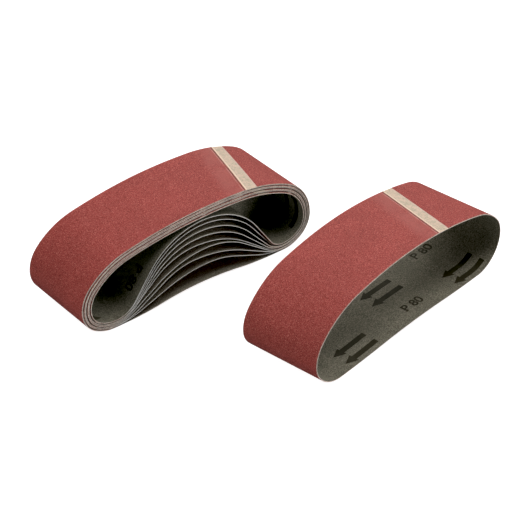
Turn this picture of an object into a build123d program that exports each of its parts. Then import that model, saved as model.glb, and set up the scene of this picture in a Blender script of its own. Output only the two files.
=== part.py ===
from build123d import *
import os
from math import cos, degrees, pi, radians, sin, tan

# A set of ten sanding belts, lying as they come out of the packet: nine are
# nested in one another, the tenth stands alone in front of them.
# Millimetres, +Z up, origin on the table under the middle of the set.

# One belt
belt_length = 533.0  # around its inner face
belt_width = 75.0
cloth_thickness = 0.34
coat_thickness = 0.28  # resin and grain, on the outside of the cloth
tape_thickness = 0.16
splice_width = 11.4  # bare strip that the tape fills, square to the strip
splice_angle = 16.0  # between the strip and the belt's edge-to-edge line
splice_clearance = 0.15  # between the tape and the coat, each side

# The nest
nest_gap = 0.30  # air between two neighbours, on the average around the loop
settle_down = 0.08  # how much lower each belt lies in the one around it
settle_side = 0.08
crown_gap = 3.0  # between the innermost belt's bulge and its own upper run
root_radius = 26.0  # where a bulge leaves its heel
crest_shift = 6.0  # of a bulge's crest, to the right of the middle
flank_length = 27.0  # straight side of a bulge
nest_splice_inset = 50.0  # from the right end of the loop
splice_stagger = 1.5  # each next belt's splice lies this much further right

# The single belt
single_height = 73.8
single_splice_inset = 67.0
single_yaw = 10.7
single_offset = 93.0  # along the nest, from its middle
single_standoff = 51.5  # from the nest's near edges to the nearest corner

# How the loops bend from the heel up to the crown: each pair is a bend's
# radius, as a proportion of the second bend's, and its turn in degrees.
nest_right_bends = [(1.30, 38.0), (1.0, 52.0), (1.65, 64.0), (5.20, 22.0)]
nest_left_bends = [(1.50, 30.0), (1.0, 60.0), (1.25, 43.0), (2.70, 35.0)]
single_right_bends = [(1.10, 54.0), (1.0, 36.0), (0.87, 39.0), (1.85, 35.0)]
single_left_bends = [(1.50, 58.0), (1.0, 32.0), (1.32, 42.0), (3.60, 37.0)]

# The inner belts of the nest, from the second inwards: the gap around each
# one, the radii at its left and right roots and the shift of its crest, all
# as proportions of the sizes above.
inner_belts = [
    (0.85, 2.95, 2.60, 1.10),
    (0.95, 1.90, 1.45, -1.05),
    (0.80, 1.35, 1.20, 0.80),
    (0.90, 1.13, 1.16, -1.15),
    (1.40, 1.08, 1.02, -0.55),
    (1.25, 1.03, 0.87, -0.05),
    (1.05, 1.00, 0.71, 0.30),
    (0.90, 0.88, 0.61, 0.37),
]
heel_length = 9.0  # flat that the outer loop stands on, at each end
nest_arch = 8.5  # steepest slope of the lower run between the heels
single_arch = 3.0

# Where the solvers look
solver_steps = 50
flattest_turn = 0.1  # degrees that a bulge turns from its root to its flank
steepest_turn = 140.0
highest_bulge = belt_length / 5
lowest_nest = belt_length / 20
highest_nest = belt_length / 3

belt_thickness = cloth_thickness + coat_thickness
outer_length = belt_length + 2 * pi * belt_thickness
cut_length = 2 * (belt_width + splice_width)


# A path is a list of (size, turn): a radius and its turn in degrees, positive
# to the left, or a length and no turn. It starts along +X.
def travel(path):
    """How far a path goes along X and Z, and its own length."""
    x = z = length = heading = 0.0
    for size, turn in path:
        if turn == 0:
            x += size * cos(radians(heading))
            z += size * sin(radians(heading))
            length += size
            continue
        side = 1 if turn > 0 else -1
        after = heading + turn
        x += side * size * (sin(radians(after)) - sin(radians(heading)))
        z += side * size * (cos(radians(heading)) - cos(radians(after)))
        length += size * radians(abs(turn))
        heading = after
    return x, z, length


def shrink(path, inset):
    """The same path, moved to its left by the inset."""
    moved = []
    for size, turn in path:
        if turn > 0:
            size -= inset
        if turn < 0:
            size += inset
        moved.append((size, turn))
    return moved


def solve(grows, low, high):
    """The value between low and high at which a growing function crosses 0."""
    for _ in range(solver_steps):
        middle = (low + high) / 2
        if grows(middle) < 0:
            low = middle
        else:
            high = middle
    return low


def climb(bends, height, crown_radius):
    """One end of a loop, from its heel to the top of the crown."""
    crown_turn = degrees(pi) - sum(turn for _, turn in bends)
    crown_rise = crown_radius * (1 - cos(radians(crown_turn)))
    scale = (height - crown_rise) / travel(bends)[1]
    scaled = [(scale * size, turn) for size, turn in bends]
    return scaled + [(crown_radius, crown_turn)]


def arched_run(span, arch):
    """Lower run that stands on two flat heels and arches between them."""
    radius = (span - 2 * heel_length) / (4 * sin(radians(arch)))
    up, down = (radius, arch), (radius, -arch)
    heel = (heel_length, 0)
    return [heel, up, down, down, up, heel]


def bend_loop(height, right_bends, left_bends, arch):
    """A loop of the belt's length: its lower run, its wrap and its span."""

    def shape(crown_radius):
        right = climb(right_bends, height, crown_radius)
        left = climb(left_bends, height, crown_radius)
        span = -travel(right)[0] - travel(left)[0]
        return arched_run(span, arch), right + left[::-1], span

    def length(crown_radius):
        run, wrap, _ = shape(crown_radius)
        return travel(run + wrap)[2]

    # the length grows evenly with the radius of the crown
    none, one = length(0), length(1)
    return shape((outer_length - none) / (one - none))


def half_bulge(width, rise):
    """Turn of one half of a bulge, and the radii of its two arcs together."""

    def excess(turn):
        arcs = (width - flank_length * cos(turn)) * tan(turn / 2)
        return arcs + flank_length * sin(turn) - rise

    turn = solve(excess, radians(flattest_turn), radians(steepest_turn))
    return turn, (width - flank_length * cos(turn)) / sin(turn)


def bulge(span, length, roots, shift):
    """Lower run of an inner belt, whose spare length pushes it up."""
    widths = (span / 2 + shift, span / 2 - shift)

    def excess(rise):
        halves = [half_bulge(width, rise) for width in widths]
        return sum(turn * radii + flank_length for turn, radii in halves) - length

    rise = solve(excess, 0, highest_bulge)
    sides = []
    for width, root in zip(widths, roots):
        turn, radii = half_bulge(width, rise)
        turn = degrees(turn)
        sides.append([(root, turn), (flank_length, 0), (radii - root, -turn)])
    return sides[0] + sides[1][::-1]


def nest_depth(order):
    """How far inside the outermost belt's face a nested belt's face lies."""
    return sum(belt_thickness + gap * nest_gap for gap, *_ in inner_belts[:order])


def nest_run(order, run, span):
    """Lower run of a nested belt, counted from 0 for the outermost."""
    if order == 0:
        return run
    _, left, right, shift = inner_belts[order - 1]
    length = travel(run)[2] + 2 * pi * nest_depth(order)
    roots = (left * root_radius, right * root_radius)
    return bulge(span, length, roots, shift * crest_shift)


def bulge_room(height):
    """Room left over the innermost bulge, beyond the crown gap."""
    run, _, span = bend_loop(height, nest_right_bends, nest_left_bends, nest_arch)
    innermost = len(inner_belts)
    bulge_rise = travel(nest_run(innermost, run, span)[:3])[1]
    stack = 2 * (nest_depth(innermost) + belt_thickness)
    return height - bulge_rise - stack - crown_gap


def ends(wrap, span):
    """How far a loop reaches right and left of the middle of its span."""
    right = span / 2 + travel(wrap[:2])[0]
    left = span / 2 + travel(wrap[:-3:-1])[0]
    return right, left


def outline(path, start, inset):
    """The area inside a loop's outline, inset from the belt's outer face."""
    x, z = start
    corner = Vector(x, z + inset)
    heading = 0.0
    with BuildSketch() as area:
        with BuildLine():
            for size, turn in shrink(path, inset):
                way = (cos(radians(heading)), sin(radians(heading)))
                if turn == 0:
                    piece = PolarLine(corner, size, direction=way)
                else:
                    piece = JernArc(corner, way, size, turn)
                corner = piece @ 1
                heading += turn
        make_face()
    return area.sketch


def ring(frame, path, start, outside, inside):
    """Section of one layer of the belt, between two insets."""
    with BuildSketch(frame) as section:
        add(outline(path, start, outside))
        add(outline(path, start, inside), mode=Mode.SUBTRACT)
    return section.sketch


def splice_strip(frame, centre, crown, width):
    """The skewed strip under the upper run, as a sketch seen from above."""
    plan = Plane(origin=frame.origin, x_dir=frame.x_dir, z_dir=(0, 0, 1))
    with BuildSketch(plan.offset(crown / 2)) as strip:
        with Locations((centre, 0)):
            Rectangle(width, cut_length, rotation=-splice_angle)
    return strip.sketch


def make_belt(name, path, start, frame, centre, crown):
    """One belt: its cloth, the coat outside it and the tape in its splice."""
    half = belt_width / 2
    tape_inset = coat_thickness - tape_thickness
    with BuildPart() as backing_cloth:
        section = ring(frame, path, start, coat_thickness, belt_thickness)
        extrude(section, amount=half, both=True)
    backing_cloth.part.label = name + "_backing_cloth"

    with BuildPart() as abrasive_coat:
        section = ring(frame, path, start, 0, coat_thickness)
        extrude(section, amount=half, both=True)
        slot = splice_strip(frame, centre, crown, splice_width)
        extrude(slot, amount=crown, mode=Mode.SUBTRACT)
    abrasive_coat.part.label = name + "_abrasive_coat"

    with BuildPart() as splice_tape:
        section = ring(frame, path, start, tape_inset, coat_thickness)
        extrude(section, amount=half, both=True)
        strip = splice_strip(frame, centre, crown, splice_width - 2 * splice_clearance)
        extrude(strip, amount=crown, mode=Mode.INTERSECT)
    splice_tape.part.label = name + "_splice_tape"

    for piece in (backing_cloth, abrasive_coat, splice_tape):
        export_step(piece.part, "parts/" + piece.part.label + ".step")


os.makedirs("parts", exist_ok=True)

# The nest is as high as the innermost bulge needs.
nest_height = solve(bulge_room, lowest_nest, highest_nest)
nest_lower, nest_wrap, nest_span = bend_loop(
    nest_height, nest_right_bends, nest_left_bends, nest_arch
)
nest_right, nest_left = ends(nest_wrap, nest_span)
nest_middle = (nest_right - nest_left) / 2
nest_half = (nest_right + nest_left) / 2

single_lower, single_wrap, single_span = bend_loop(
    single_height, single_right_bends, single_left_bends, single_arch
)
single_right, single_left = ends(single_wrap, single_span)
single_middle = (single_right - single_left) / 2
single_half = (single_right + single_left) / 2

# Where the two stand, with the origin under the middle of both.
yaw = radians(single_yaw)
half_width = belt_width / 2
footprint_x = single_half * cos(yaw) + half_width * sin(yaw)
footprint_y = single_half * sin(yaw) + half_width * cos(yaw)
single_depth = half_width + single_standoff + footprint_y
middle_x = (single_offset + footprint_x - nest_half) / 2
middle_y = (half_width - single_depth - footprint_y) / 2
nest_frame = Plane(origin=(-middle_x, -middle_y, 0), x_dir=(1, 0, 0), z_dir=(0, -1, 0))
single_frame = Plane(
    origin=(single_offset - middle_x, -single_depth - middle_y, 0),
    x_dir=(cos(yaw), sin(yaw), 0),
    z_dir=(sin(yaw), -cos(yaw), 0),
)

for order in range(len(inner_belts) + 1):
    depth = nest_depth(order)
    belt_path = nest_run(order, nest_lower, nest_span) + shrink(nest_wrap, depth)
    belt_start = (
        order * settle_side - nest_span / 2 - nest_middle,
        depth - order * settle_down,
    )
    splice_centre = nest_half - nest_splice_inset + order * splice_stagger
    make_belt(
        f"belt_{order + 1:02d}",
        belt_path,
        belt_start,
        nest_frame,
        splice_centre,
        nest_height,
    )

make_belt(
    f"belt_{len(inner_belts) + 2:02d}",
    single_lower + single_wrap,
    (-single_span / 2 - single_middle, 0),
    single_frame,
    single_half - single_splice_inset,
    single_height,
)

print(f"nest {2 * nest_half:.1f} long, {nest_height:.2f} high, span {nest_span:.1f}")
print(f"single {2 * single_half:.1f} long, span {single_span:.1f}")
print("nest stands at", nest_frame.origin, "single at", single_frame.origin)
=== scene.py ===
from math import ceil, cos, degrees, pi, radians, sin, tan

import bmesh
import bpy
from mathutils import Matrix, Vector


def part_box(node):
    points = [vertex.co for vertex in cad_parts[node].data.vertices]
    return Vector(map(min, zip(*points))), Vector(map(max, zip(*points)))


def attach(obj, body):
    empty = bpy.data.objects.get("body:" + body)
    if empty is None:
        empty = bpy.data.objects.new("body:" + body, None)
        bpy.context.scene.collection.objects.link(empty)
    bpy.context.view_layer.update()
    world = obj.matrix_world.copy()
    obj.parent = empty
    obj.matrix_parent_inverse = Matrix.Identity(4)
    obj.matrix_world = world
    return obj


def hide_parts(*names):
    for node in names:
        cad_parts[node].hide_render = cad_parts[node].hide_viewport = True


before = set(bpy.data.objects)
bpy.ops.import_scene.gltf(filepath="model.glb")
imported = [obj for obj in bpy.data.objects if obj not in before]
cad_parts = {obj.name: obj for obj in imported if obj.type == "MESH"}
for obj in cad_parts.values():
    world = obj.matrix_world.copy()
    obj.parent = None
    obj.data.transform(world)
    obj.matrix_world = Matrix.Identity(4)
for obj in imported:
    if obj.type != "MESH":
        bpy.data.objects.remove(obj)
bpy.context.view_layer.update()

mm = 0.001

# one sanding belt, in mm, cut flat and taped into a loop
belt = {
    "length": 533.0,          # around the inside
    "width": 75.0,
    "cloth": 0.34,
    "coat": 0.28,
    "tape": 0.16,
    "tapeWidth": 11.1,
    "gapWidth": 11.4,         # bare strip between the two ends of the coat
    "skew": 16.0,             # degrees
    "overlap": 20.0,          # of coat and tape past their ends, before those are cut askew
    "along": 380,             # divisions of the sheet
    "across": 20,
    "tapeAlong": 40,
    # an edge wanders in waves: share of each, number round the belt, factor of the phase
    "waves": [(0.6, 2, 1), (0.4, 5, 3)],
    "phase": 1.7,             # from one belt to the next
}
thickness = belt["cloth"] + belt["coat"]
outerLength = belt["length"] + 2 * pi * thickness
skew = radians(belt["skew"])

# how the loops bend, the same numbers as the parts have
nest = {
    "yaw": 0.0,
    "gap": 0.30,              # between two belts
    "down": 0.08,             # how each inner belt has settled
    "side": 0.08,
    "root": 26.0,             # radius at the foot of a bulge
    "shift": 6.0,             # of its crest, to the right
    "flank": 27.0,            # straight stretch on either side of it
    "turns": (0.002, 2.4),    # radians that a side of it may turn
    "rises": (0, 110),        # heights that it may have
    "arch": 8.5,              # degrees that the lowest run turns up
    "heel": 9.0,              # flat stretch under each end
    # bends from the heel up to the crown: relative radius and degrees
    "right": [(1.30, 38.0), (1.0, 52.0), (1.65, 64.0), (5.20, 22.0)],
    "left": [(1.50, 30.0), (1.0, 60.0), (1.25, 43.0), (2.70, 35.0)],
    # gap, left root, right root, crest shift of each inner belt
    "inner": [
        (0.85, 2.95, 2.60, 1.10),
        (0.95, 1.90, 1.45, -1.05),
        (0.80, 1.35, 1.20, 0.80),
        (0.90, 1.13, 1.16, -1.15),
        (1.40, 1.08, 1.02, -0.55),
        (1.25, 1.03, 0.87, -0.05),
        (1.05, 1.00, 0.71, 0.30),
        (0.90, 0.88, 0.61, 0.37),
    ],
    "spliceInset": 50.0,
    "spliceStep": 1.5,
    # how far each belt sticks out at the front, and how much its edge wanders
    "proud": [0.20, -0.35, 0.25, 0.15, -0.35, 0.25, 0.20, -0.35, 0.40],
    "wander": 0.30,
}
single = {
    "yaw": 10.7,
    "arch": 3.0,
    "heel": 9.0,
    "right": [(1.10, 54.0), (1.0, 36.0), (0.87, 39.0), (1.85, 35.0)],
    "left": [(1.50, 58.0), (1.0, 32.0), (1.32, 42.0), (3.60, 37.0)],
    "spliceInset": 67.0,
    "proud": 0.0,
    "wander": 0.12,
}


# 1 for a turn to the left, -1 to the right, 0 for straight on
def sideOf(turn):
    return (turn > 0) - (turn < 0)


# how far one step goes in x and z, from one heading to the next, in radians
def stride(size, side, before, after):
    if side == 0:
        return size * cos(before), size * sin(before)
    return side * size * (sin(after) - sin(before)), side * size * (cos(before) - cos(after))


# a path is a list of (size, turn): radius and degrees, left turns positive, or length and 0;
# its steps with the length, place and heading at which each begins, then its end and length
def walk(path, x=0.0, z=0.0):
    steps = []
    length = heading = 0.0
    for size, turn in path:
        steps.append((length, x, z, heading, size, turn))
        dx, dz = stride(size, sideOf(turn), radians(heading), radians(heading + turn))
        x += dx
        z += dz
        length += size * radians(abs(turn)) if turn else size
        heading += turn
    return steps, x, z, length


def travel(path):
    return walk(path)[1:]


def inset(path, depth):
    return [(size - depth * sideOf(turn), turn) for size, turn in path]


def solve(grows, low, high, halvings=50):
    for _ in range(halvings):
        middle = (low + high) / 2
        if grows(middle) < 0:
            low = middle
        else:
            high = middle
    return low


def climb(bends, height, crownRadius):
    crownTurn = 180 - sum(turn for _, turn in bends)
    rise = height - crownRadius * (1 - cos(radians(crownTurn)))
    scale = rise / travel(bends)[1]
    return [(scale * size, turn) for size, turn in bends] + [(crownRadius, crownTurn)]


# lower run, wrap over the top and distance between the heels
def bendLoop(height, form):
    def shape(crownRadius):
        right = climb(form["right"], height, crownRadius)
        left = climb(form["left"], height, crownRadius)
        span = -travel(right)[0] - travel(left)[0]
        bow = (span - 2 * form["heel"]) / (4 * sin(radians(form["arch"])))
        up, down, heel = (bow, form["arch"]), (bow, -form["arch"]), (form["heel"], 0)
        return [heel, up, down, down, up, heel], right + left[::-1], span

    def length(crownRadius):
        run, wrap, _ = shape(crownRadius)
        return travel(run + wrap)[2]

    none, one = length(0), length(1)
    return shape((outerLength - none) / (one - none))


# the spare length of an inner belt pushes its lower run up
def bulge(span, length, roots, shift):
    flank = nest["flank"]

    def half(width, rise):
        def excess(turn):
            return (width - flank * cos(turn)) * tan(turn / 2) + flank * sin(turn) - rise

        turn = solve(excess, *nest["turns"])
        return turn, (width - flank * cos(turn)) / sin(turn)

    def excess(rise):
        halves = [half(width, rise) for width in widths]
        return sum(turn * radii + flank for turn, radii in halves) - length

    widths = (span / 2 + shift, span / 2 - shift)
    rise = solve(excess, *nest["rises"])
    sides = []
    for width, root in zip(widths, roots):
        turn, radii = half(width, rise)
        sides.append([(root, degrees(turn)), (flank, 0), (radii - root, -degrees(turn))])
    return sides[0] + sides[1][::-1]


# walks along the inner face of a belt; at(s) gives the point and the way inwards
class BeltLine:
    def __init__(self, path, start):
        x, z = start
        self.steps, _, _, self.length = walk(inset(path, thickness), x, z + thickness)

    def at(self, s):
        s %= self.length
        for begin, x, z, heading, size, turn in reversed(self.steps):
            if begin <= s:
                break
        side, before = sideOf(turn), radians(heading)
        after = before + side * (s - begin) / size
        dx, dz = stride(size if side else s - begin, side, before, after)
        return x + dx, z + dz, -sin(after), cos(after)

    # where the upper run passes over a given x
    def over(self, x):
        def beyond(s):
            return x - self.at(s)[0]

        return solve(beyond, self.length * 0.5, self.length * 0.8)


# a loop's centre, lower run, wrap and span, and how far the wrap leans and reaches sideways
def outline(name, form):
    low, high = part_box(name)
    run, wrap, span = bendLoop(high.z / mm, form)
    right = span / 2 + travel(wrap[:2])[0]
    left = span / 2 + travel(wrap[:-3:-1])[0]
    return (low + high) / 2, run, wrap, span, (right - left) / 2, (right + left) / 2


loops = []


def addLoop(form, path, start, spliceX, centre, proud):
    line = BeltLine(path, start)
    loops.append({"line": line, "splice": line.over(spliceX), "centre": centre,
                  "yaw": radians(form["yaw"]), "proud": proud, "wander": form["wander"]})


centre, run, wrap, span, lean, reach = outline("belt_01_abrasive_coat", nest)
depth = 0.0
for order, proud in enumerate(nest["proud"]):
    lower = run
    if order:
        gap, leftRoot, rightRoot, shift = nest["inner"][order - 1]
        depth += thickness + gap * nest["gap"]
        spare = travel(run)[2] + 2 * pi * depth
        roots = (leftRoot * nest["root"], rightRoot * nest["root"])
        lower = bulge(span, spare, roots, shift * nest["shift"])
    start = (order * nest["side"] - span / 2 - lean, depth - order * nest["down"])
    spliceX = reach - nest["spliceInset"] + order * nest["spliceStep"]
    addLoop(nest, lower + inset(wrap, depth), start, spliceX, centre, proud)

centre, run, wrap, span, lean, reach = outline("belt_10_abrasive_coat", single)
start = (-span / 2 - lean, 0.0)
addLoop(single, run + wrap, start, reach - single["spliceInset"], centre, single["proud"])
print("loops bent:", len(loops))


# bends a flat sheet round its loop: x runs along the belt from the splice, y across it,
# z is the height over the inner face, outwards
def bend(bm, number, solid=True):
    loop = loops[number]
    centre = loop["centre"]
    turned = Matrix.Rotation(loop["yaw"], 4, "Z")
    phase = belt["phase"] * number
    for v in bm.verts:
        s, across, height = v.co
        x, z, nx, nz = loop["line"].at(s + loop["splice"])
        sway = 2 * pi * s / belt["length"]
        wave = sum(share * sin(count * sway + factor * phase) for share, count, factor in belt["waves"])
        across -= loop["proud"] + loop["wander"] * wave
        place = turned @ Vector((x - nx * height, across, z - nz * height))
        v.co = Vector((place.x * mm + centre.x, place.y * mm + centre.y, place.z * mm))
    if solid:
        bmesh.ops.recalc_face_normals(bm, faces=bm.faces)


def flatSheet(low, high, along, base, thick):
    bm = bmesh.new()
    bmesh.ops.create_grid(bm, x_segments=along, y_segments=belt["across"], size=0.5)
    bmesh.ops.scale(bm, vec=(high - low, belt["width"], 1), verts=bm.verts)
    bmesh.ops.translate(bm, vec=((low + high) / 2, 0, base), verts=bm.verts)
    grown = bmesh.ops.extrude_face_region(bm, geom=bm.faces[:])["geom"]
    lifted = [g for g in grown if isinstance(g, bmesh.types.BMVert)]
    bmesh.ops.translate(bm, vec=(0, 0, thick), verts=lifted)
    bmesh.ops.recalc_face_normals(bm, faces=bm.faces)
    return bm


# cuts straight through, and clears one side where that is asked for
def cutPlane(bm, place, way, **clear):
    everything = bm.verts[:] + bm.edges[:] + bm.faces[:]
    made = bmesh.ops.bisect_plane(bm, geom=everything, dist=0.0001, plane_co=place, plane_no=way, **clear)
    return [g for g in made["geom_cut"] if isinstance(g, bmesh.types.BMEdge)]


# cuts a sheet off square to its face along a line that runs askew across the belt
def skewCut(bm, x, keepSide):
    border = cutPlane(bm, (x, 0, 0), (keepSide * cos(skew), keepSide * sin(skew), 0), clear_inner=True)
    bmesh.ops.edgeloop_fill(bm, edges=border)


# flat coordinates in metres, kept as the piece's own map
def mapFlat(bm):
    uv = bm.loops.layers.uv.new("flatMap")
    for face in bm.faces:
        for corner in face.loops:
            corner[uv].uv = (corner.vert.co.x * mm, corner.vert.co.y * mm)


# the belt's two cut edges, in mm
wear = {
    "near": 0.01,             # still counts as on the edge or the end
    "frayed": 0.5,            # width of the swollen strip of cloth
    "outwards": 0.05,
    "inwards": 0.09,
    "setBack": 0.22,          # of coat and tape behind the cloth
}


def onEdge(y):
    return abs(y) > belt["width"] / 2 - wear["near"]


def onEnd(x):
    return min(abs(x), abs(x - belt["length"])) < wear["near"]


def markRim(bm):
    for face in bm.faces:
        if onEdge(face.calc_center_median().y):
            face.material_index = 1


# a cut edge of cloth swells, mostly towards the inside
def frayEdge(bm):
    for side in (1, -1):
        cutPlane(bm, (0, side * (belt["width"] / 2 - wear["frayed"]), 0), (0, 1, 0))
    for v in bm.verts:
        if onEdge(v.co.y):
            v.co.z += wear["outwards"] if v.co.z > belt["cloth"] / 2 else -wear["inwards"]


# grain and tape break off a little behind the cloth
def breakEdge(bm):
    for v in bm.verts:
        if onEdge(v.co.y):
            v.co.y *= 1 - wear["setBack"] / (belt["width"] / 2)


sharpAngle = 40               # degrees, from which an edge of a piece is shaded sharp


def finishPiece(name, bm, materials, smooth=True):
    mesh = bpy.data.meshes.new(name)
    bm.to_mesh(mesh)
    bm.free()
    piece = bpy.data.objects.new(name, mesh)
    bpy.context.scene.collection.objects.link(piece)
    for material in materials:
        mesh.materials.append(material)
    if smooth:
        mesh.shade_smooth()
        mesh.set_sharp_from_angle(angle=radians(sharpAngle))
    return piece


# a material, and short ways to add to it
class Nodes:
    def __init__(self, name):
        self.material = bpy.data.materials.new(name)
        self.material.use_nodes = True
        self.tree = self.material.node_tree
        self.shader = self.tree.nodes["Principled BSDF"]

    def feed(self, socket, value):
        if isinstance(value, bpy.types.NodeSocket):
            self.tree.links.new(value, socket)
        elif socket.type == "RGBA":
            socket.default_value = (*value, 1)
        else:
            socket.default_value = value

    def add(self, kind, inputs, **settings):
        node = self.tree.nodes.new("ShaderNode" + kind)
        for key, value in settings.items():
            setattr(node, key, value)
        for key, value in inputs.items():
            self.feed(node.inputs[key], value)
        return node

    def place(self):
        return self.add("TexCoord", {}).outputs["Object"]

    # metres along the belt from the splice, and across it from the middle
    def flat(self):
        return self.add("UVMap", {}, uv_map="flatMap").outputs["UV"]

    def fromMiddle(self, flat):
        return self.math("ABSOLUTE", self.add("SeparateXYZ", {"Vector": flat}).outputs[1])

    # distance from the splice, square to it
    def fromSplice(self, flat):
        return self.add("VectorMath", {0: flat, 1: (cos(skew), sin(skew), 0)},
                        operation="DOT_PRODUCT").outputs["Value"]

    def noise(self, place, scale, detail=2.0, rough=0.5):
        return self.add("TexNoise", {"Vector": place, "Scale": scale, "Detail": detail,
                                     "Roughness": rough}).outputs["Fac"]

    # parallel ribs, a given distance apart; at scale 1 they would be 0.314 apart
    def ribs(self, place, apart, direction, distortion, detail, detailScale):
        return self.add("TexWave", {"Vector": place, "Scale": 0.314 / apart, "Distortion": distortion,
                                    "Detail": detail, "Detail Scale": detailScale},
                        wave_type="BANDS", bands_direction=direction).outputs["Fac"]

    def turn(self, place, angle):
        return self.add("Mapping", {"Vector": place, "Rotation": (0, 0, angle)}).outputs["Vector"]

    def math(self, operation, a, b=0.0, c=0.0):
        return self.add("Math", {0: a, 1: b, 2: c}, operation=operation).outputs[0]

    # two values by their shares
    def weigh(self, first, share, second, otherShare, offset=0.0):
        return self.math("ADD", self.math("MULTIPLY", first, share),
                         self.math("MULTIPLY_ADD", second, otherShare, offset))

    def between(self, value, low, high, bottom=0.0, top=1.0):
        return self.add("MapRange", {"Value": value, "From Min": low, "From Max": high,
                                     "To Min": bottom, "To Max": top},
                        interpolation_type="SMOOTHSTEP").outputs["Result"]

    # 1 past the place where the first value rises and before the second falls, 0 outside
    def strip(self, rising, rise, falling, fall):
        return self.math("MULTIPLY", self.between(rising, *rise), self.between(falling, *fall))

    def ramp(self, factor, stops):
        node = self.add("ValToRGB", {"Fac": factor})
        marks = node.color_ramp.elements
        marks[0].position, marks[0].color = stops[0][0], (*stops[0][1], 1)
        marks[1].position, marks[1].color = stops[-1][0], (*stops[-1][1], 1)
        for place, colour in stops[1:-1]:
            marks.new(place).color = (*colour, 1)
        return node.outputs["Color"]

    def mix(self, factor, a, b, blend="MIX"):
        node = self.add("Mix", {0: factor}, data_type="RGBA", blend_type=blend)
        sockets = [s for s in node.inputs if s.type == "RGBA"]
        self.feed(sockets[0], a)
        self.feed(sockets[1], b)
        return [s for s in node.outputs if s.type == "RGBA"][0]

    # another colour where a value lies past a mark: from, to, how strong and what colour
    def tint(self, colour, value, low, high, strength, shade):
        return self.mix(self.between(value, low, high, 0.0, strength), colour, shade)

    # darker and brighter in wide patches
    def cast(self, colour, noise, low, high, darkest, brightest):
        shade = self.between(noise, low, high, darkest, brightest)
        grey = self.add("CombineColor", {0: shade, 1: shade, 2: shade}).outputs[0]
        return self.mix(1.0, colour, grey, "MULTIPLY")

    # roughness goes from one value to the other with the grain
    def surface(self, colour, grain, roughness, specular, height, strength, distance):
        bump = self.add("Bump", {"Height": height, "Strength": strength, "Distance": distance})
        self.feed(self.shader.inputs["Base Color"], colour)
        self.feed(self.shader.inputs["Roughness"], self.between(grain, 0.3, 0.7, *roughness))
        self.feed(self.shader.inputs["Specular IOR Level"], specular)
        self.feed(self.shader.inputs["Normal"], bump.outputs["Normal"])
        return self.material


grit = {
    "grain": 3400.0,          # about a third of a millimetre
    "clumps": 1200.0,
    # place on the ramp and colour; the last, brightest stop is a painted glint on single grains
    "tones": [(0.25, (0.140, 0.0150, 0.0118)), (0.55, (0.325, 0.0500, 0.0425)),
              (0.86, (0.485, 0.1020, 0.0830)), (1.0, (0.600, 0.2000, 0.1650))],
    "roughness": (0.62, 0.86),
    # beside the splice, in metres from it: where a strip begins, where it ends and its colour
    "smoothed": ((0.005, 0.010), (0.0285, 0.016), (0.420, 0.120, 0.102)),
    "lip": ((0.0056, 0.0057), (0.0066, 0.0061), (0.500, 0.300, 0.225)),
    "crack": ((0.0061, 0.0065), (0.0074, 0.0069), (0.085, 0.030, 0.022)),
    "lifted": ((0.0072, 0.0076), (0.0090, 0.0080), (0.600, 0.300, 0.255)),
    "ripple": 0.0018,         # of those lines
    # along the two cut edges, in metres from the middle: from, to, how strong, colour
    "scuffed": (0.0372, 0.0380, 0.55, (0.50, 0.26, 0.22)),
}


# one tone for each grain, and how far a point is from its middle
def grains(n, place):
    cells = n.add("TexVoronoi", {"Vector": place, "Scale": grit["grain"], "Randomness": 1.0},
                  feature="F1").outputs
    return n.add("SeparateColor", {"Color": cells["Color"]}).outputs[0], cells["Distance"]


def gritMaterial():
    n = Nodes("resinGrit")
    place, flat = n.place(), n.flat()
    tone, fromGrain = grains(n, place)
    clumps = n.noise(place, grit["clumps"], 3.0, 0.6)
    colour = n.ramp(n.weigh(tone, 0.62, clumps, 1.32, -0.365), grit["tones"])
    colour = n.cast(colour, n.noise(place, 28.0), 0.30, 0.70, 0.95, 1.05)

    # ground smooth beside the splice, with a thin pressed line along it
    away = n.fromSplice(flat)
    edge = n.math("SUBTRACT", n.noise(flat, 240.0, 3.0, 0.6), 0.5)
    edge = n.math("MULTIPLY_ADD", edge, grit["ripple"], away)
    rise, fall, shade = grit["smoothed"]
    haze = n.math("MULTIPLY", n.strip(edge, rise, edge, fall),
                  n.between(n.noise(flat, 55.0), 0.30, 0.62, 0.20, 0.60))
    colour = n.mix(haze, colour, shade)
    rise, fall, shade = grit["lip"]
    colour = n.mix(n.math("MULTIPLY", n.strip(away, rise, edge, fall), 0.65), colour, shade)
    patchy = n.between(n.noise(flat, 60.0), 0.36, 0.52, 0.30, 1.0)
    rise, fall, shade = grit["crack"]
    pressed = n.strip(edge, rise, edge, fall)
    colour = n.mix(n.math("MULTIPLY", pressed, n.math("MULTIPLY", patchy, 0.80)), colour, shade)
    rise, fall, shade = grit["lifted"]
    lifted = n.strip(edge, rise, edge, fall)
    colour = n.mix(n.math("MULTIPLY", lifted, n.math("MULTIPLY", patchy, 0.55)), colour, shade)

    outwards = n.math("ADD", n.fromMiddle(flat), n.math("MULTIPLY", clumps, 0.0009))
    colour = n.tint(colour, outwards, *grit["scuffed"])
    flatten = n.math("SUBTRACT", 1.0, n.math("MULTIPLY", haze, 0.8))
    height = n.math("ADD", n.math("MULTIPLY", fromGrain, -0.9), n.math("MULTIPLY", clumps, 0.8))
    height = n.math("SUBTRACT", n.math("MULTIPLY", height, flatten), n.math("MULTIPLY", pressed, 1.5))
    return n.surface(colour, clumps, grit["roughness"], 0.40, height, 0.55, 0.00016)


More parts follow.
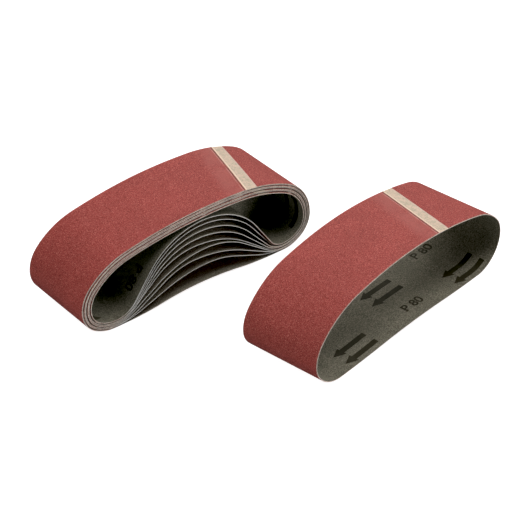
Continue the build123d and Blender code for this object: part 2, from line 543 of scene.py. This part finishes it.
cloth = {
    "tones": [(0.22, (0.074, 0.066, 0.047)), (0.50, (0.200, 0.183, 0.139)),
              (0.80, (0.390, 0.362, 0.288))],
    "twill": 0.00062,         # from rib to rib
    "yarn": 0.8,              # from yarn to yarn, of that
    "angle": 27.0,
    # painted shade: the cloth of the nest's belts is darker to stand for the shade inside the nest; the
    # single belt keeps 1
    "paintedShade": [0.84, 1.0],     # of the nest's belts and of the single one
    "roughness": (0.66, 0.90),
    # paler along the two cut edges: from, to, how strong, colour
    "rubbed": (0.0374, 0.0382, 0.6, (0.26, 0.24, 0.20)),
}


def twill(n, flat):
    ribs = n.ribs(n.turn(flat, radians(cloth["angle"])), cloth["twill"], "X", 0.9, 2.0, 1.4)
    yarns = n.ribs(flat, cloth["yarn"] * cloth["twill"], "Y", 0.5, 1.0, 1.0)
    return n.math("MULTIPLY_ADD", yarns, 0.35, n.math("MULTIPLY", ribs, 0.65))


def clothMaterial(number, paintedShade):
    n = Nodes(f"resinFilledTwill_{number}")
    place, flat = n.place(), n.flat()
    weave = twill(n, flat)
    flecks = n.noise(place, 1000.0, 4.0, 0.65)
    colour = n.ramp(n.weigh(weave, 0.25, flecks, 1.40, -0.325), cloth["tones"])
    patches = n.noise(place, 34.0, 3.0, 0.55)
    # painted shade: the nest's belts get darker cloth here, for the shade inside the nest
    colour = n.cast(colour, patches, 0.28, 0.72, 0.90 * paintedShade, 1.10 * paintedShade)
    outwards = n.math("ADD", n.fromMiddle(flat), n.math("MULTIPLY", flecks, 0.0012))
    colour = n.tint(colour, outwards, *cloth["rubbed"])
    height = n.math("ADD", weave, n.math("MULTIPLY", flecks, 0.6))
    return n.surface(colour, flecks, cloth["roughness"], 0.12, height, 0.5, 0.00008)


# the cut edge of the cloth: ends of threads, stained by the coat
rim = {
    "ends": 0.00055,          # from thread to thread
    # the darkest stop is painted shade between the thread ends
    "tones": [(0.31, (0.450, 0.330, 0.270)), (0.43, (1.000, 0.800, 0.690)),
              (0.62, (1.000, 0.930, 0.850))],
    "lowerRun": ((0.236, 0.256), (0.428, 0.408)),     # where it begins and ends, from the splice
    "clean": (0.900, 0.890, 0.860),      # cloth there
    "dusty": (0.620, 0.605, 0.580),      # coat there
    "roughness": (0.80, 0.96),
    # behind a plain coat a stain, and behind the dark coat edge of a belt set back in the stack a dark
    # patchy tint that is painted shade: colour, scale of its noise, where in that it starts, and how strong
    # it is
    "stainsAndShade": [((0.680, 0.400, 0.330), 170.0, 0.52, 0.36), ((0.120, 0.070, 0.056), 62.0, 0.34, 0.85)],
    "fade": 0.14,             # from where the tint starts to where it is full: the stain, and the painted shade
}


# 1 along the lower run of the nest's belts, 0 round the rest
def lowerRun(n, flat):
    along = n.add("SeparateXYZ", {"Vector": flat}).outputs[0]
    begins, ends = rim["lowerRun"]
    return n.strip(along, begins, along, ends)


def rimMaterial(number, stainAndShade, scale, least, most):
    n = Nodes(f"cutClothEdge_{number}")
    place, flat = n.place(), n.flat()
    ends = n.ribs(flat, rim["ends"], "X", 2.0, 3.0, 1.6)
    fuzz = n.noise(place, 640.0, 3.0, 0.6)
    colour = n.ramp(n.weigh(ends, 0.30, fuzz, 0.70), rim["tones"])
    # the coat's stain; on the belts set back in the stack, a dark patchy tint instead, which is painted
    # shade
    colour = n.tint(colour, n.noise(place, scale, 4.0, 0.65), least, least + rim["fade"], most, stainAndShade)
    kept = n.math("MULTIPLY", lowerRun(n, flat), n.between(fuzz, 0.25, 0.45, 0.40, 1.0))
    colour = n.mix(kept, colour, rim["clean"])
    return n.surface(colour, fuzz, rim["roughness"], 0.2, ends, 0.6, 0.00012)


# the coat where it was cut through, on both edges of the belt: dusty and lightened (dust, and painted light
# on belts that stand out), plain, or darkened (painted shade on belts set back in the stack)
broken = [
    # dusty and lightened: dust, and painted light on a belt that stands out
    [(0.32, (0.340, 0.140, 0.110)), (0.54, (0.860, 0.470, 0.370)), (0.76, (1.000, 0.740, 0.620))],
    [(0.32, (0.110, 0.036, 0.028)), (0.54, (0.460, 0.180, 0.140)), (0.76, (0.900, 0.500, 0.400))],
    # darkened: painted shade of a belt set back in the stack
    [(0.32, (0.012, 0.006, 0.005)), (0.54, (0.070, 0.028, 0.022)), (0.76, (0.420, 0.180, 0.140))],
]
shadedBreak = 2                    # the last of them, the one darkened with painted shade
# which of them each belt has; the darkened one, painted shade, goes on the belts that are set back
breaks = [0, 2, 0, 1, 2, 0, 0, 2, 0, 0]


def brokenMaterial(number, tones):
    n = Nodes(f"cutGritEdge_{number}")
    place, flat = n.place(), n.flat()
    tone, fromGrain = grains(n, place)
    patches = n.noise(place, 260.0, 3.0, 0.6)
    specks = n.noise(place, 640.0, 2.0, 0.5)
    mixed = n.math("MULTIPLY_ADD", specks, 1.80, n.weigh(tone, 0.35, patches, 0.70, -0.90))
    colour = n.mix(n.math("MULTIPLY", lowerRun(n, flat), 0.85), n.ramp(mixed, tones), rim["dusty"])
    return n.surface(colour, patches, (0.75, 0.92), 0.2, fromGrain, 0.6, 0.0001)


tape = {
    "body": (0.700, 0.520, 0.395),
    "mottle": (0.440, 0.385, 0.270),
    "thread": 0.00070,        # from thread to thread
    "roughness": (0.48, 0.78),
    # from, to, how strong, colour: both long edges, in metres from the splice, painted shade in the hollows
    # between the threads, and the two cut ends, in metres from the belt's middle
    "rim": (0.0045, 0.0055, 0.90, (0.900, 0.700, 0.530)),
    "blush": (-0.0032, -0.0044, 0.75, (0.680, 0.450, 0.380)),
    "shadedHollows": (0.25, 0.0, 0.22, (0.30, 0.27, 0.21)),
    "ends": (0.0370, 0.0372, 0.9, (0.900, 0.700, 0.530)),
}


def tapeMaterial():
    n = Nodes("spliceTapeWeave")
    place, flat = n.place(), n.flat()
    threads = n.ribs(n.turn(flat, -skew), tape["thread"], "X", 1.2, 2.0, 1.5)
    specks = n.noise(place, 780.0, 4.0, 0.7)
    blots = n.noise(place, 210.0, 3.0, 0.6)
    mottle = n.weigh(specks, 0.6, blots, 0.4)
    away = n.math("MULTIPLY_ADD", blots, 0.0012, n.fromSplice(flat))
    colour = n.mix(n.between(mottle, 0.44, 0.60, 0.0, 0.85), tape["body"], tape["mottle"])
    colour = n.tint(colour, away, *tape["rim"])
    colour = n.tint(colour, away, *tape["blush"])
    # painted shade in the hollows between the threads
    colour = n.tint(colour, threads, *tape["shadedHollows"])
    colour = n.tint(colour, n.fromMiddle(flat), *tape["ends"])
    height = n.math("ADD", threads, n.math("MULTIPLY", specks, 0.7))
    return n.surface(colour, specks, tape["roughness"], 0.4, height, 0.4, 0.00008)


ink = {"fresh": (0.0330, 0.0268, 0.0145), "worn": (0.085, 0.074, 0.050), "roughness": (0.55, 0.75)}


def inkMaterial():
    n = Nodes("backPrintInk")
    place, flat = n.place(), n.flat()
    weave = twill(n, flat)
    specks = n.noise(place, 1300.0, 3.0, 0.7)
    worn = n.between(n.weigh(weave, 0.4, specks, 0.6), 0.50, 0.72, 0.0, 0.7)
    faded = n.between(n.noise(place, 85.0), 0.44, 0.64, 0.0, 0.22)
    colour = n.mix(n.math("ADD", worn, faded), ink["fresh"], ink["worn"])
    return n.surface(colour, specks, ink["roughness"], 0.1, weave, 0.4, 0.00006)


gritFinish = gritMaterial()
clothFinishes = [clothMaterial(number, paintedShade) for number, paintedShade in enumerate(cloth["paintedShade"])]
rimFinishes = [rimMaterial(number, *stainAndShade) for number, stainAndShade in enumerate(rim["stainsAndShade"])]
brokenFinishes = [brokenMaterial(number, tones) for number, tones in enumerate(broken)]
tapeFinish, inkFinish = tapeMaterial(), inkMaterial()
print("materials made")

# what is printed on the back of the cloth, in mm: pairs of running arrows and the grade
stamp = {
    "grade": "P 80",
    "letterHeight": 8.0,
    "capitals": 0.69,         # height of a capital letter, of its type size
    "bold": 0.022,            # growth of a letter, of its type size
    "gradeLength": 22.5,
    "arrowLength": 38.3,
    "shaft": 5.0,
    "head": (10.5, 9.8),      # length and width
    "pair": 12.5,             # between the two arrows
    "pitch": 69.7,            # along the belt from one pair to the next
    "sideStep": 30.0,         # every second pair lies this much to the side
    "repeat": 69.2,           # of the whole print, across the belt
    "gradeAt": [(7.0, 42.6), (12.6, 1.8)],
    "slices": 42,             # one each millimetre, so that it can follow the bend
    "lift": 0.03,
    "fromEdge": 0.3,
    "fromEnd": 0.5,
    "scrap": 1.0,             # square millimetres, less is not kept
}


# the vertices that a mesh brings along
def addMesh(bm, mesh):
    known = set(bm.verts)
    bm.from_mesh(mesh)
    return [v for v in bm.verts if v not in known]


# one column of the print, lying flat: arrows from the origin along +x, grade beside them
def stampMesh(odd):
    bm = bmesh.new()
    headLength, headWidth = stamp["head"]
    shaftLength = stamp["arrowLength"] - headLength
    middle = odd * stamp["sideStep"]
    for row in (middle - stamp["pair"] / 2, middle + stamp["pair"] / 2):
        made = bmesh.ops.create_grid(bm, x_segments=1, y_segments=1, size=0.5)["verts"]
        bmesh.ops.scale(bm, vec=(shaftLength, stamp["shaft"], 1), verts=made)
        bmesh.ops.translate(bm, vec=(headLength + shaftLength / 2, row, 0), verts=made)
        made = bmesh.ops.create_circle(bm, cap_ends=True, segments=3, radius=1.0)["verts"]
        bmesh.ops.rotate(bm, matrix=Matrix.Rotation(radians(90), 3, "Z"), verts=made)
        bmesh.ops.scale(bm, vec=(headLength / 1.5, headWidth / 3 ** 0.5, 1), verts=made)
        bmesh.ops.translate(bm, vec=(headLength * 2 / 3, row, 0), verts=made)
    words = bpy.data.curves.new("grade", "FONT")
    words.body = stamp["grade"]
    words.size = stamp["letterHeight"] / stamp["capitals"]
    words.offset = stamp["bold"] * words.size
    words.resolution_u = 4
    holder = bpy.data.objects.new("grade", words)
    bpy.context.scene.collection.objects.link(holder)
    letters = bpy.data.meshes.new_from_object(holder)
    bpy.data.objects.remove(holder)
    made = addMesh(bm, letters)
    wide = max(v.co.x for v in made) - min(v.co.x for v in made)
    bmesh.ops.scale(bm, vec=(stamp["gradeLength"] / wide, 1, 1), verts=made)
    begin, line = stamp["gradeAt"][odd]
    bmesh.ops.translate(bm, vec=(begin, line - stamp["letterHeight"] / 2, 0), verts=made)
    for i in range(stamp["slices"] - 1):
        cutPlane(bm, (i, 0, 0), (1, 0, 0))
    mesh = bpy.data.meshes.new("stamp")
    bm.to_mesh(mesh)
    bm.free()
    return mesh


stamps = [stampMesh(0), stampMesh(1)]

# where an even pair's tips lie on each belt, from the left heel, how far across, and whether
# the print is turned round
printing = [
    (31.0, -14.9, False), (12.0, -14.6, False), (47.0, -21.3, True), (5.0, -15.2, False),
    (58.0, -20.8, True), (26.0, -15.0, False), (63.0, -21.2, True), (40.0, -14.8, False),
    (130.6, 22.2, True), (14.0, -23.8, False),
]


# removes what a cut leaves of a stamp when it is too little to be seen
def dropScraps(bm, least):
    waiting = set(bm.faces)
    scraps = []
    while waiting:
        island = [waiting.pop()]
        for face in island:
            for near in [other for edge in face.edges for other in edge.link_faces]:
                if near in waiting:
                    waiting.remove(near)
                    island.append(near)
        if sum(face.calc_area() for face in island) < least:
            scraps += island
    bmesh.ops.delete(bm, geom=scraps, context="FACES")


def printBack(number):
    length, pitch = belt["length"], stamp["pitch"]
    tips, aside, turned = printing[number]
    tips = (tips - loops[number]["splice"]) % length
    if turned:
        tips = length - tips
    bm = bmesh.new()
    columns = ceil(length / pitch)
    for column in range(-columns, columns + 1):
        along = tips + pitch * column
        if not -pitch < along < length:
            continue
        for row in (-1, 0, 1):
            made = addMesh(bm, stamps[column % 2])
            place = (along, aside + row * stamp["repeat"], -stamp["lift"])
            bmesh.ops.translate(bm, vec=place, verts=made)
    if turned:
        bmesh.ops.rotate(bm, matrix=Matrix.Rotation(pi, 3, "Z"), verts=bm.verts)
        bmesh.ops.translate(bm, vec=(length, 0, 0), verts=bm.verts)
    end, edge = stamp["fromEnd"], belt["width"] / 2 - stamp["fromEdge"]
    for place, way in (((end, 0, 0), (-1, 0, 0)), ((length - end, 0, 0), (1, 0, 0)),
                       ((0, edge, 0), (0, 1, 0)), ((0, -edge, 0), (0, -1, 0))):
        cutPlane(bm, place, way, clear_outer=True)
    dropScraps(bm, stamp["scrap"])
    mapFlat(bm)
    bend(bm, number, solid=False)
    return bm


# a closed loop: the sheet's two ends meet
def clothSheet(number):
    bm = flatSheet(0, belt["length"], belt["along"], 0, belt["cloth"])
    ends = [f for f in bm.faces if onEnd(f.calc_center_median().x)]
    bmesh.ops.delete(bm, geom=ends, context="FACES")
    mapFlat(bm)
    markRim(bm)
    frayEdge(bm)
    bend(bm, number)
    bmesh.ops.remove_doubles(bm, verts=bm.verts, dist=0.00001)
    bmesh.ops.recalc_face_normals(bm, faces=bm.faces)
    return bm


# open at the splice
def coatSheet(number):
    half = belt["gapWidth"] / 2 / cos(skew)
    low, high = -belt["overlap"], belt["length"] + belt["overlap"]
    bm = flatSheet(low, high, belt["along"], belt["cloth"], belt["coat"])
    skewCut(bm, half, 1)
    skewCut(bm, belt["length"] - half, -1)
    mapFlat(bm)
    markRim(bm)
    breakEdge(bm)
    bend(bm, number)
    return bm


def tapeSheet(number):
    half = belt["tapeWidth"] / 2 / cos(skew)
    bm = flatSheet(-belt["overlap"], belt["overlap"], belt["tapeAlong"], belt["cloth"], belt["tape"])
    skewCut(bm, -half, 1)
    skewCut(bm, half, -1)
    mapFlat(bm)
    breakEdge(bm)
    bend(bm, number)
    return bm


for number, broke in enumerate(breaks):
    body = f"belt_{number + 1:02d}"
    clothPiece = finishPiece(body + "_cloth", clothSheet(number),
                             # a belt set back in the stack gets the cloth edge with painted shade
                             [clothFinishes[number == 9], rimFinishes[broke == shadedBreak]])
    coatPiece = finishPiece(body + "_grit", coatSheet(number), [gritFinish, brokenFinishes[broke]])
    tapePiece = finishPiece(body + "_tape", tapeSheet(number), [tapeFinish])
    printPiece = finishPiece(body + "_print", printBack(number), [inkFinish], smooth=False)

    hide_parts(body + "_backing_cloth")
    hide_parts(body + "_abrasive_coat")
    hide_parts(body + "_splice_tape")
    for piece in (clothPiece, coatPiece, tapePiece, printPiece):
        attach(piece, body)
print("belts made")

# floor, lights and camera
studio = {
    "floor": 12.0,
    "floorColour": (0.45, 0.45, 0.45),
    # height and glow of the floor that the camera sees, and of the one that lights the belts
    "pale": (-0.0002, 0.96),
    "bounce": (-0.0010, 0.43),
    "sky": (0.80, 0.82, 0.85),
    "skyStrength": 0.004,
    "black": (0.0085, 0.0070, 0.0076),   # light below this is shown as black
    "eye": (-0.93727, -1.20157, 1.10585),
    "right": (0.7870, -0.6168, -0.0173),
    "up": (0.3676, 0.4462, 0.8159),
    "lens": 156.97,
    "sensor": 36.0,
    "clip": (0.05, 60.0),
    "aim": (0, 0, 0.03),
    "distance": 2.2,
    "softness": 1.0,
    # name, degrees from the front to the right, degrees up, power
    "lights": [
        ("key", 65, 62, 18.6),
        ("front", 30, 22, 12.9),
        ("backRight", 135, 30, 13.4),
        ("backLeft", -120, 60, 11.7),
        ("left", -70, 62, 7.2),
        ("right", 60, 42, 5.2),
        ("leftFill", -90, 20, 7.4),
    ],
}


# the camera sees the white floor; what the belts get from it is a dimmer one just below
def layFloor(name, height, glow):
    bm = bmesh.new()
    bmesh.ops.create_grid(bm, x_segments=8, y_segments=8, size=studio["floor"] / 2)
    bmesh.ops.translate(bm, vec=(0, 0, height), verts=bm.verts)
    n = Nodes(name)
    n.feed(n.shader.inputs["Base Color"], studio["floorColour"])
    n.feed(n.shader.inputs["Roughness"], 0.9)
    n.feed(n.shader.inputs["Specular IOR Level"], 0.1)
    n.feed(n.shader.inputs["Emission Color"], (1, 1, 1))
    n.feed(n.shader.inputs["Emission Strength"], glow)
    floor = finishPiece(name, bm, [n.material], smooth=False)
    floor.visible_glossy = False
    return floor


layFloor("paleFloor", *studio["pale"]).visible_diffuse = False
layFloor("bounceFloor", *studio["bounce"]).visible_camera = False

aim = Vector(studio["aim"])
for name, azimuth, elevation, power in studio["lights"]:
    lamp = bpy.data.lights.new(name, "AREA")
    lamp.shape, lamp.size, lamp.energy = "DISK", studio["softness"], power
    holder = bpy.data.objects.new(name, lamp)
    bpy.context.scene.collection.objects.link(holder)
    aside, up = radians(azimuth), radians(elevation)
    way = Vector((sin(aside) * cos(up), -cos(aside) * cos(up), sin(up)))
    holder.location = aim + studio["distance"] * way
    holder.rotation_euler = way.to_track_quat("Z", "Y").to_euler()

world = bpy.data.worlds.new("studioAir")
bpy.context.scene.world = world
world.use_nodes = True
air = world.node_tree.nodes["Background"]
air.inputs["Color"].default_value = (*studio["sky"], 1)
air.inputs["Strength"].default_value = studio["skyStrength"]
view = bpy.context.scene.view_settings
view.view_transform = "Standard"
view.use_curve_mapping = True
view.curve_mapping.black_level = studio["black"]
view.curve_mapping.update()

lens = bpy.data.cameras.new("camera")
lens.lens = studio["lens"]
lens.sensor_width = studio["sensor"]
lens.clip_start, lens.clip_end = studio["clip"]
camera = bpy.data.objects.new("camera", lens)
bpy.context.scene.collection.objects.link(camera)
sideways = Vector(studio["right"]).normalized()
backwards = sideways.cross(Vector(studio["up"])).normalized()
upwards = backwards.cross(sideways)
facing = Matrix((sideways, upwards, backwards)).transposed()
camera.matrix_world = Matrix.Translation(studio["eye"]) @ facing.to_4x4()
bpy.context.scene.camera = camera
print("studio set")
